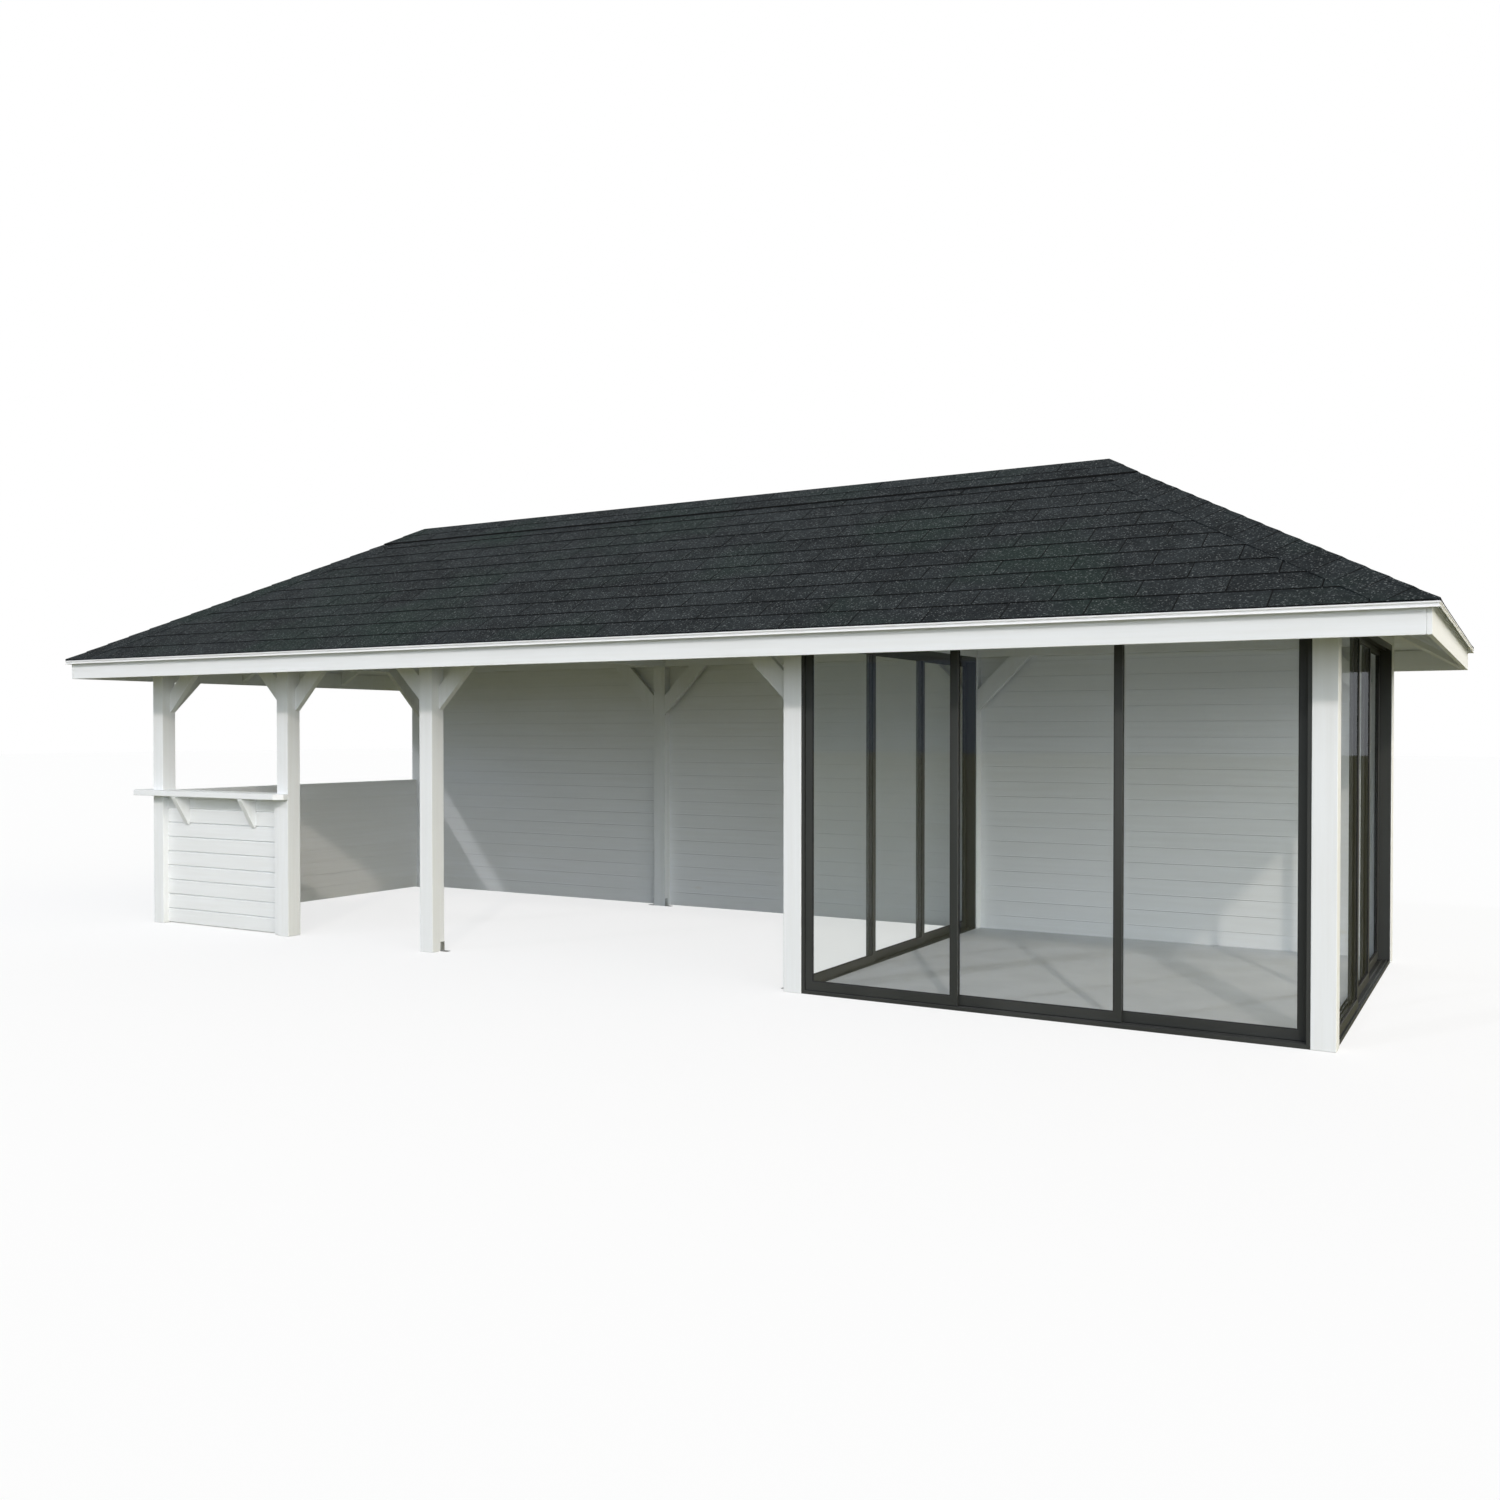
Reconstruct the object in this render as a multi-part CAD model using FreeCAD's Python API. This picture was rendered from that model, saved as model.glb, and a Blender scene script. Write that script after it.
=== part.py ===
import FreeCAD, Part

import math
import os

# Hipped timber pavilion: three square bays, the left one with a bar, the right one closed by
# sliding glass. Millimetres. Origin on the ground under the middle of the plan, +X along the
# front to the right, +Y to the back, +Z up.

Vector = FreeCAD.Vector

# Plan
POST = 120.0                 # square post
BAY = 2972.0                 # post centre to post centre, along and across
BAYS = 3                     # bays along the front

# Heights of the timber frame
POST_HEIGHT = 2165.0
PLATE_HEIGHT = 145.0         # wall plates and tie beams, as wide as a post

# Roof
PITCH = 30.0                 # degrees, the same on all four slopes
OVERHANG = 469.0             # outer face of a post to the edge of the roof covering
RAFTER_SEAT = 37.0           # depth of the rafters' notch at the outer face of the plates
SHINGLE = 7.0                # thickness of a shingle at its lower edge
SHINGLE_THIN = 2.5           # thickness where the next course lies on it
COURSE = 195.5               # shingle showing in each course
RIDGE_CAP = 12.0             # thickness of the ridge capping
HIP_CAP = 6.0
RIDGE_CAP_WIDTH = 240.0      # plan width of the ridge capping on each slope
HIP_CAP_WIDTH = 185.0        # plan width of the hip capping on each side of the hip
DECK = 19.0                  # roof boards
RAFTER_WIDTH = 45.0
RAFTER_DEPTH = 110.0
RAFTERS_PER_BAY = 5
HIP_DEPTH = 145.0            # hip rafter, square to its slope
RIDGE_WIDTH = 28.0
RIDGE_DEPTH = 160.0
FASCIA = 22.0                # fascia board
FASCIA_SET_BACK = 37.0       # edge of the covering to the face of the fascia
FASCIA_DROP = 152.0          # top of the covering's edge to the foot of the fascia
DRIP_SHEET = 2.0             # metal edge strip
DRIP_DROP = 25.0
EDGE_SET_BACK = 3.0          # edge strip to the edge of the shingles
MITRE_GAP = 1.0              # joint between pieces that meet over a hip or the ridge

# Knee braces
BRACE_THICK = 45.0
BRACE_WIDTH = 120.0
BRACE_REACH = 430.0          # along the plate and down the post

# Boarded walls
BOARD = 118.0                # board height
BOARD_THICK = 20.0
BOARD_CHAMFER = 7.0          # edges of the boards' outer faces
BOARD_EASE = 1.5             # edges of their inner faces
WALL_CLEARANCE = 4.0         # ground to the lowest board
HALF_WALL_BOARDS = 9
HALF_WALL_RECESS = 38.0      # outer face of the posts to the outer face of the boards
BAR_WALL_RECESS = 48.0
BACK_WALL_RECESS = 20.0
CAP_RAIL = 27.0              # rail on the left half wall

# Bar
SHELF_THICK = 45.0
SHELF_BOTTOM = 1053.0
SHELF_FRONT = 95.0           # how far the shelf stands in front of the posts
SHELF_LEFT = 183.0           # how far it runs past the corner post
SHELF_CORNER = 55.0          # slanted cut at both of its front corners
BRACKET_THICK = 45.0
BRACKET_DROP = 233.0
BRACKET_NOSE = 12.0          # blunt ends of a bracket
BRACKET_SET_BACK = 5.0       # front edge of the shelf to the bracket
BRACKET_FIRST = 250.0        # corner post to the middle of the first bracket
BRACKET_SPREAD = 794.0       # centre to centre
BATTEN = 40.0                # square batten of the bar wall, beside the bar's own post

# Post anchors
ANCHOR_SHEET = 3.0
ANCHOR_WIDTH = 40.0
ANCHOR_LEG = 68.0
ANCHOR_FOOT = 60.0

# Sliding glass walls
FRAME_DEPTH = 100.0
FRAME_SET_BACK = 5.0         # outer face of the posts to the frame
JAMB = 20.0
HEAD = 20.0
HEAD_LIP = 20.0              # how far the head's lips hang below its web
SILL = 12.0
SILL_LIP = 10.0
RAIL_WIDTH = 6.0
RAIL_HEIGHT = 12.0
LIP = 3.0
FIN = 2.0                    # head fins between the tracks
MEMBER_GAP = 0.3             # joint between frame members
TRACKS = 3
TRACK_PITCH = 31.0
PANEL_THICK = 18.0
PANEL_OVERLAP = 50.0
PANEL_SIDE_GAP = 5.0         # closed panel to the jamb
PANEL_TOP_GAP = 8.0          # panel to the web of the head
PANEL_RUN_GAP = 0.3          # panel to the rail it runs on
STILE = 42.0
TOP_RAIL = 42.0
BOTTOM_RAIL = 52.0
PANE = 8.0
PANE_SEAT = 8.0              # how deep the glass sits in its frame
INTERLOCK = 8.0              # fin of a stile towards the next leaf
INTERLOCK_WIDTH = 10.0
INTERLOCK_TOP_GAP = 5.0      # fin to the head fins over it

# Floor of the glazed room
FLOOR = 15.0

# Sizes that follow
LENGTH = BAYS * BAY + POST
WIDTH = BAY + POST
SLOPE = math.radians(PITCH)
EAVE_X = LENGTH / 2 + OVERHANG
EAVE_Y = WIDTH / 2 + OVERHANG
APEX_X = EAVE_X - EAVE_Y
RAFTER_PITCH = BAY / RAFTERS_PER_BAY
FRONT = -WIDTH / 2
BACK = WIDTH / 2
LEFT = -LENGTH / 2
RIGHT = LENGTH / 2
POST_LINES = [LEFT + POST / 2 + i * BAY for i in range(BAYS + 1)]
BAR_POST_X = (POST_LINES[0] + POST_LINES[1]) / 2
SPAN = BAY - POST            # clear width between two posts
DECK_DEPTH = SHINGLE + DECK
FRAMING_DEPTH = DECK_DEPTH + RAFTER_DEPTH
PLATE_TOP = POST_HEIGHT + PLATE_HEIGHT
FRAMING_FOOT = PLATE_TOP - RAFTER_SEAT - OVERHANG * math.tan(SLOPE)
EAVE_TOP = FRAMING_FOOT + FRAMING_DEPTH / math.cos(SLOPE)
FASCIA_BOTTOM = EAVE_TOP - FASCIA_DROP
FASCIA_BACK = FASCIA_SET_BACK + FASCIA
SKY = 2 * (EAVE_TOP + EAVE_Y)


def box(x0, x1, y0, y1, z0, z1):
    """Block between two corners."""
    return Part.makeBox(x1 - x0, y1 - y0, z1 - z0, Vector(x0, y0, z0))


def prism(points, run):
    """Polygon of 3-D points, pushed along a vector."""
    wire = Part.makePolygon([Vector(*p) for p in points + points[:1]])
    return Part.Face(wire).extrude(Vector(*run))


def section_x(outline, x0, x1):
    """Outline of (y, z) points, run along X."""
    return prism([(x0, y, z) for y, z in outline], (x1 - x0, 0, 0))


def section_y(outline, y0, y1):
    """Outline of (x, z) points, run along Y."""
    return prism([(x, y0, z) for x, z in outline], (0, y1 - y0, 0))


def turned(shape, degrees, shift=(0, 0, 0)):
    """Copy turned about the Z axis, then shifted."""
    copy = shape.copy()
    copy.rotate(Vector(0, 0, 0), Vector(0, 0, 1), degrees)
    copy.translate(Vector(*shift))
    return copy


def save(node, solids):
    """Write one node: a solid, or several that don't touch."""
    for solid in solids:
        if not solid.isValid() or solid.Volume <= 0 or len(solid.Solids) != 1:
            raise ValueError(f"{node}: {len(solid.Solids)} solids, volume {solid.Volume:.0f}")
    shape = solids[0] if len(solids) == 1 else Part.makeCompound(solids)
    shape.exportStep(f"parts/{node}.step")


# The roof is worked out on one slope, with its eave along local X at y = 0 and y as the plan
# distance in from the eave, and then turned to each side.

class Slope:
    """One side of the hipped roof."""

    def __init__(self, half, degrees, shift):
        self.half = half
        self.degrees = degrees
        self.shift = shift

    def place(self, shape):
        """Turn a shape from the slope's own frame to the roof."""
        return turned(shape, self.degrees, self.shift)

    def region(self, hip_gap=0.0, ridge_gap=0.0):
        """Upright prism over the slope's plan, held off the hips and the ridge."""
        half = self.half - hip_gap * math.sqrt(2)
        depth = min(EAVE_Y - ridge_gap, half)
        plan = [(-half, 0, 0), (half, 0, 0), (half - depth, depth, 0)]
        if half > depth:
            plan.append((depth - half, depth, 0))
        return prism(plan, (0, 0, SKY))

    def layer(self, near, far, upper, lower, hip_gap=0.0, ridge_gap=0.0):
        """Sheet between two depths square to the slope, from near to far in plan."""
        outline = [(near, roof_z(near, upper)), (far, roof_z(far, upper)),
                   (far, roof_z(far, lower)), (near, roof_z(near, lower))]
        sheet = section_x(outline, -self.half, self.half)
        return self.place(sheet.common(self.region(hip_gap, ridge_gap)))


def roof_z(inset, depth):
    """Height of the roof at a plan distance in from the eave and a depth below its top."""
    return EAVE_TOP + inset * math.tan(SLOPE) - depth / math.cos(SLOPE)


LONG_SLOPES = [Slope(EAVE_X, 0, (0, -EAVE_Y, 0)), Slope(EAVE_X, 180, (0, EAVE_Y, 0))]
END_SLOPES = [Slope(EAVE_Y, 90, (EAVE_X, 0, 0)), Slope(EAVE_Y, -90, (-EAVE_X, 0, 0))]
SLOPES = LONG_SLOPES + END_SLOPES


def under_roof(depth):
    """Hipped volume under the roof, down to the ground, with its top at a depth."""
    parts = [slope.place(section_x([(0, 0), (0, roof_z(0, depth)), (EAVE_Y, roof_z(EAVE_Y, depth)),
                                    (EAVE_Y, 0)], -slope.half, slope.half).common(slope.region()))
             for slope in SLOPES]
    return parts[0].fuse(parts[1:]).removeSplitter()


def posts_front():
    """Front posts, with the bar's own post second from the left."""
    lines = sorted(POST_LINES + [BAR_POST_X])
    return [box(x - POST / 2, x + POST / 2, FRONT, FRONT + POST, 0, POST_HEIGHT) for x in lines]


def posts_back():
    """Back posts."""
    return [box(x - POST / 2, x + POST / 2, BACK - POST, BACK, 0, POST_HEIGHT)
            for x in POST_LINES]


def plates_long():
    """Front and back wall plates."""
    return [box(LEFT, RIGHT, y, y + POST, POST_HEIGHT, PLATE_TOP) for y in (FRONT, BACK - POST)]


def cross_beams(lines):
    """Beams from the front plate to the back plate on the given lines."""
    return [box(x - POST / 2, x + POST / 2, FRONT + POST, BACK - POST, POST_HEIGHT, PLATE_TOP)
            for x in lines]


def brace_outline():
    """Knee brace, with the post at 0 and the plate above: (out, z) points."""
    cut = BRACE_WIDTH * math.sqrt(2)
    return [(0, POST_HEIGHT - BRACE_REACH), (BRACE_REACH, POST_HEIGHT),
            (BRACE_REACH - cut, POST_HEIGHT), (0, POST_HEIGHT - BRACE_REACH + cut)]


def brace_along_x(post_face, side, start):
    """Knee brace beside a post, from one depth to a brace's thickness behind it."""
    outline = [(post_face + side * out, z) for out, z in brace_outline()]
    return section_y(outline, start, start + BRACE_THICK)


def knee_braces():
    """Braces of the open bays, the back and the left end, flush with the posts' inner faces."""
    braces = []
    half = POST / 2
    bar = BAR_POST_X
    front_sides = [(POST_LINES[0], 1), (bar, -1), (bar, 1), (POST_LINES[1], -1),
                   (POST_LINES[1], 1), (POST_LINES[2], -1)]
    for x, side in front_sides:
        braces.append(brace_along_x(x + side * half, side, FRONT + POST - BRACE_THICK))
    for index, x in enumerate(POST_LINES):
        for side in (-1, 1):
            if 0 <= index + side <= BAYS:
                braces.append(brace_along_x(x + side * half, side, BACK - POST))
    inner = LEFT + POST
    for face, side in ((FRONT + POST, 1), (BACK - POST, -1)):
        outline = [(face + side * out, z) for out, z in brace_outline()]
        braces.append(section_x(outline, inner - BRACE_THICK, inner))
    return braces


def hip_rafters(plates):
    """Four hip rafters, backed to both slopes and notched over the plates."""
    hip_fall = math.atan(math.tan(SLOPE) / math.sqrt(2))
    drop = HIP_DEPTH / math.cos(hip_fall)
    reach = EAVE_Y * math.sqrt(2)
    top = roof_z(0, DECK_DEPTH)
    rise = EAVE_Y * math.tan(SLOPE)
    outline = [(0, top), (reach, top + rise), (reach, top + rise - drop), (0, top - drop)]
    blank = section_y(outline, -RAFTER_WIDTH / 2, RAFTER_WIDTH / 2)
    roof = under_roof(DECK_DEPTH)
    rafters = []
    for sx in (-1, 1):
        for sy in (-1, 1):
            heading = math.degrees(math.atan2(-sy, -sx))
            rafter = turned(blank, heading, (sx * EAVE_X, sy * EAVE_Y, 0))
            quarter = [sorted((sx * (APEX_X - EAVE_Y), sx * (EAVE_X - FASCIA_BACK))),
                       sorted((sy * RIDGE_WIDTH / 2, sy * (EAVE_Y - FASCIA_BACK)))]
            rafter = rafter.common(box(*quarter[0], *quarter[1], 0, SKY)).common(roof)
            for plate in plates:
                rafter = rafter.cut(plate)
            rafters.append(rafter.removeSplitter())
    return rafters


def slope_rafters(slope, lines, plates):
    """Rafters of one slope on the given lines, cut to the hips, ridge and plates."""
    outline = [(FASCIA_BACK, roof_z(FASCIA_BACK, DECK_DEPTH)), (EAVE_Y, roof_z(EAVE_Y, DECK_DEPTH)),
               (EAVE_Y, roof_z(EAVE_Y, FRAMING_DEPTH)), (FASCIA_BACK, roof_z(FASCIA_BACK, FRAMING_DEPTH))]
    region = slope.region(RAFTER_WIDTH / 2, RIDGE_WIDTH / 2)
    rafters = []
    for line in lines:
        blank = section_x(outline, line - RAFTER_WIDTH / 2, line + RAFTER_WIDTH / 2)
        rafter = slope.place(blank.common(region))
        for plate in plates:
            rafter = rafter.cut(plate)
        rafters.append(rafter)
    return rafters


def rafter_lines(half_span):
    """Rafter lines between the outer posts, counted from their centres."""
    count = round(2 * half_span / RAFTER_PITCH)
    return [-half_span + i * RAFTER_PITCH for i in range(1, count)]


def ridge_board():
    """Ridge board, its top backed to the slopes."""
    top = roof_z(EAVE_Y, DECK_DEPTH)
    reach = APEX_X + RAFTER_WIDTH
    blank = box(-reach, reach, -RIDGE_WIDTH / 2, RIDGE_WIDTH / 2, top - RIDGE_DEPTH, top)
    return blank.common(under_roof(DECK_DEPTH)).removeSplitter()


def roof_deck():
    """Roof boards of the four slopes."""
    return [slope.layer(FASCIA_SET_BACK, EAVE_Y, SHINGLE, DECK_DEPTH, MITRE_GAP / 2,
                        MITRE_GAP / 2) for slope in SLOPES]


def shingle_courses():
    """Stepped shingle courses of the four slopes."""
    fall = SHINGLE - SHINGLE_THIN
    step = COURSE * math.cos(SLOPE)
    edge = EDGE_SET_BACK
    outline = [(edge, roof_z(edge, SHINGLE)), (edge, roof_z(edge, 0))]
    butt = step
    while butt < EAVE_Y:
        outline += [(butt, roof_z(butt, fall)), (butt, roof_z(butt, 0))]
        butt += step
    outline += [(EAVE_Y, roof_z(EAVE_Y, fall * (EAVE_Y - butt + step) / step)),
                (EAVE_Y, roof_z(EAVE_Y, SHINGLE))]
    return [slope.place(section_x(outline, -slope.half, slope.half).common(
        slope.region(MITRE_GAP / 2, MITRE_GAP / 2))) for slope in SLOPES]


def ridge_cap():
    """Capping of the ridge, with its folded ends."""
    leaves = [slope.layer(EAVE_Y - RIDGE_CAP_WIDTH, EAVE_Y, -RIDGE_CAP, 0) for slope in SLOPES]
    return leaves[0].fuse(leaves[1:]).removeSplitter()


def hip_caps():
    """Capping of the four hips, up to the capping of the ridge."""
    far = EAVE_Y - RIDGE_CAP_WIDTH - MITRE_GAP
    reach = EAVE_Y * math.sqrt(2)
    caps = []
    for end in END_SLOPES:
        for side in LONG_SLOPES:
            sx = 1 if end is END_SLOPES[0] else -1
            sy = -1 if side is LONG_SLOPES[0] else 1
            strip = box(0, reach, -HIP_CAP_WIDTH, HIP_CAP_WIDTH, 0, SKY)
            strip = turned(strip, math.degrees(math.atan2(-sy, -sx)), (sx * EAVE_X, sy * EAVE_Y, 0))
            leaves = [slope.layer(EDGE_SET_BACK, far, -HIP_CAP, 0).common(strip) for slope in (end, side)]
            caps.append(leaves[0].fuse(leaves[1]).removeSplitter())
    return caps


def fascia():
    """Fascia boards of the four eaves, those of the ends lapping the others' ends."""
    top = roof_z(FASCIA_SET_BACK, DECK_DEPTH)
    boards = []
    for slope in SLOPES:
        inset = FASCIA_SET_BACK if slope in END_SLOPES else FASCIA_BACK + MITRE_GAP
        reach = slope.half - inset
        board = box(-reach, reach, FASCIA_SET_BACK, FASCIA_BACK, FASCIA_BOTTOM, top)
        boards.append(slope.place(board))
    return boards


def edge_strips():
    """Metal strips under the edge of the shingles."""
    under = SHINGLE + DRIP_SHEET
    far = FASCIA_SET_BACK
    nose = roof_z(0, SHINGLE)
    outline = [(0, nose), (far, roof_z(far, SHINGLE)), (far, roof_z(far, under)),
               (DRIP_SHEET, roof_z(DRIP_SHEET, under)), (DRIP_SHEET, nose - DRIP_DROP),
               (0, nose - DRIP_DROP)]
    return [slope.place(section_x(outline, -slope.half, slope.half).common(
        slope.region(MITRE_GAP / 2))) for slope in SLOPES]


def board_face(out, way, chamfer, bottom, top):
    """One face of a boarded wall, from its foot up, with a groove at each joint: (out, z) points."""
    points = [(out, bottom)]
    joint = bottom + BOARD
    while joint < top - BOARD_CHAMFER:
        points += [(out, joint - chamfer), (out + way * chamfer, joint), (out, joint + chamfer)]
        joint += BOARD
    return points + [(out, top)]


def board_outline(outer, way, bottom, top):
    """Section of a boarded wall: its outer face at a place, and its inner one a board's way in."""
    inner = outer + way * BOARD_THICK
    return (board_face(outer, way, BOARD_CHAMFER, bottom, top)
            + board_face(inner, -way, BOARD_EASE, bottom, top)[::-1])


def back_wall():
    """Boarded panels between the back posts."""
    outline = board_outline(BACK - BACK_WALL_RECESS, -1, WALL_CLEARANCE, POST_HEIGHT)
    return [section_x(outline, x + POST / 2, x + BAY - POST / 2) for x in POST_LINES[:-1]]


def half_wall_top():
    """Top of the boards of the left half wall."""
    return WALL_CLEARANCE + HALF_WALL_BOARDS * BOARD


def left_half_wall():
    """Boarded half wall of the left end, with its rail."""
    face = LEFT + HALF_WALL_RECESS
    outline = board_outline(face, 1, WALL_CLEARANCE, half_wall_top())
    boards = section_y(outline, FRONT + POST, BACK - POST)
    rail = box(LEFT, face + BOARD_THICK, FRONT + POST, BACK - POST, half_wall_top(),
               half_wall_top() + CAP_RAIL)
    return boards.fuse(rail).removeSplitter()


def bar_wall():
    """Boarded wall under the bar shelf, with a batten beside the bar's own post."""
    face = FRONT + BAR_WALL_RECESS
    end = BAR_POST_X - POST / 2
    outline = board_outline(face, 1, WALL_CLEARANCE, SHELF_BOTTOM)
    boards = section_x(outline, POST_LINES[0] + POST / 2, end)
    batten = box(end - BATTEN, end, face - BATTEN, face + BOARD_THICK / 2, WALL_CLEARANCE, SHELF_BOTTOM)
    return boards.fuse(batten).removeSplitter()


def bar_shelf(posts):
    """Bar shelf, notched round its two posts and run past the corner post."""
    near, inner = FRONT - SHELF_FRONT, FRONT + POST
    start, end = LEFT - SHELF_LEFT, BAR_POST_X + POST / 2
    plan = [(start + SHELF_CORNER, near), (end - SHELF_CORNER, near), (end, near + SHELF_CORNER),
            (end, FRONT), (end - POST, FRONT), (end - POST, inner), (start, inner),
            (start, near + SHELF_CORNER)]
    shelf = prism([(x, y, SHELF_BOTTOM) for x, y in plan], (0, 0, SHELF_THICK))
    for post in posts:
        shelf = shelf.cut(post)
    return shelf.removeSplitter()


def shelf_brackets():
    """Triangular brackets between the bar wall and its shelf."""
    wall = FRONT + BAR_WALL_RECESS
    front = FRONT - SHELF_FRONT + BRACKET_SET_BACK
    outline = [(wall, SHELF_BOTTOM), (front, SHELF_BOTTOM), (front, SHELF_BOTTOM - BRACKET_NOSE),
               (wall - BRACKET_NOSE, SHELF_BOTTOM - BRACKET_DROP), (wall, SHELF_BOTTOM - BRACKET_DROP)]
    first = LEFT + POST + BRACKET_FIRST
    return [section_x(outline, x - BRACKET_THICK / 2, x + BRACKET_THICK / 2)
            for x in (first, first + BRACKET_SPREAD)]


def post_anchors():
    """Metal angles at the feet of the posts of the open bay."""
    outline = [(0, 0), (ANCHOR_FOOT, 0), (ANCHOR_FOOT, ANCHOR_SHEET), (ANCHOR_SHEET, ANCHOR_SHEET),
               (ANCHOR_SHEET, ANCHOR_LEG), (0, ANCHOR_LEG)]
    half = POST / 2
    front = FRONT + POST - ANCHOR_WIDTH
    back = BACK - POST
    anchors = []
    for x, side, y in ((POST_LINES[1], 1, front), (POST_LINES[2], -1, front),
                       (POST_LINES[1], 1, back), (POST_LINES[1], -1, back), (POST_LINES[2], -1, back)):
        points = [(x + side * (half + out), z) for out, z in outline]
        anchors.append(section_y(points, y, y + ANCHOR_WIDTH))
    return anchors


def room_floor(posts):
    """Floor of the glazed room, inside its frames and round its posts."""
    inner = FRAME_SET_BACK + FRAME_DEPTH
    slab = box(POST_LINES[2] + FRAME_DEPTH / 2, RIGHT - inner, FRONT + inner,
               BACK - BACK_WALL_RECESS - BOARD_THICK, 0, FLOOR)
    for post in posts:
        slab = slab.cut(post)
    return slab


# A sliding wall is worked out with its opening along local X, its outer face at y = 0 and its
# depth along +Y, and then turned to its side of the room.

def track_line(track):
    """Middle of a track, counted from the outer one."""
    return FRAME_DEPTH / 2 + (track - (TRACKS - 1) / 2) * TRACK_PITCH


def panel_width():
    """Width of one sliding panel."""
    run = SPAN - 2 * (JAMB + PANEL_SIDE_GAP)
    return (run + (TRACKS - 1) * PANEL_OVERLAP) / TRACKS


def panel_bottom():
    """Height of the foot of a panel on its rail."""
    return SILL + RAIL_HEIGHT + PANEL_RUN_GAP


def panel_top():
    """Height of the top of a panel under the head."""
    return POST_HEIGHT - HEAD - PANEL_TOP_GAP


def comb(base, web, teeth):
    """Section of a track: a web and teeth of (middle, width, height), up if base < web."""
    way = 1 if web > base else -1
    outline = [(0, base)]
    for middle, width, height in teeth:
        for y, z in ((middle - width / 2, web), (middle - width / 2, web + way * height),
                     (middle + width / 2, web + way * height), (middle + width / 2, web)):
            outline.append((y, z))
    outline.append((FRAME_DEPTH, base))
    return [point for i, point in enumerate(outline) if i == 0 or point != outline[i - 1]]


def track_frame():
    """Fixed frame of a sliding wall: two jambs, the sill and the head."""
    lips = [LIP / 2, FRAME_DEPTH - LIP / 2]
    rails = [(track_line(i), RAIL_WIDTH, RAIL_HEIGHT) for i in range(TRACKS)]
    fins = [((track_line(i) + track_line(i + 1)) / 2, FIN, HEAD_LIP) for i in range(TRACKS - 1)]
    sill = comb(0, SILL, sorted([(y, LIP, SILL_LIP) for y in lips] + rails))
    head = comb(POST_HEIGHT, POST_HEIGHT - HEAD, sorted([(y, LIP, HEAD_LIP) for y in lips] + fins))
    start, end = JAMB + MEMBER_GAP, SPAN - JAMB - MEMBER_GAP
    jambs = [box(x, x + JAMB, 0, FRAME_DEPTH, 0, POST_HEIGHT) for x in (0, SPAN - JAMB)]
    return jambs + [section_x(sill, start, end), section_x(head, start, end)]


def panel(index):
    """Frame and pane of one sliding panel, closed, with the fin that meets the next one."""
    width = panel_width()
    x0 = JAMB + PANEL_SIDE_GAP + index * (width - PANEL_OVERLAP)
    x1 = x0 + width
    middle = track_line(index)
    z0, z1 = panel_bottom(), panel_top()
    pane = box(x0 + STILE - PANE_SEAT, x1 - STILE + PANE_SEAT, middle - PANE / 2, middle + PANE / 2,
               z0 + BOTTOM_RAIL - PANE_SEAT, z1 - TOP_RAIL + PANE_SEAT)
    frame = box(x0, x1, middle - PANEL_THICK / 2, middle + PANEL_THICK / 2, z0, z1)
    clear = box(x0 + STILE, x1 - STILE, middle - PANEL_THICK, middle + PANEL_THICK,
                z0 + BOTTOM_RAIL, z1 - TOP_RAIL)
    if index < TRACKS - 1:
        edge = x1 - PANEL_OVERLAP + STILE
        top = POST_HEIGHT - HEAD - HEAD_LIP - INTERLOCK_TOP_GAP
        frame = frame.fuse(box(edge - INTERLOCK_WIDTH, edge, middle, middle + PANEL_THICK / 2 + INTERLOCK,
                               z0, top)).removeSplitter()
    return frame.cut(clear).cut(pane), pane


SLIDING_WALLS = {
    "front": (0, (POST_LINES[2] + POST / 2, FRONT + FRAME_SET_BACK, 0)),
    "right": (90, (RIGHT - FRAME_SET_BACK, FRONT + POST, 0)),
    "partition": (90, (POST_LINES[2] + FRAME_DEPTH / 2, FRONT + POST, 0)),
}


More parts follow.
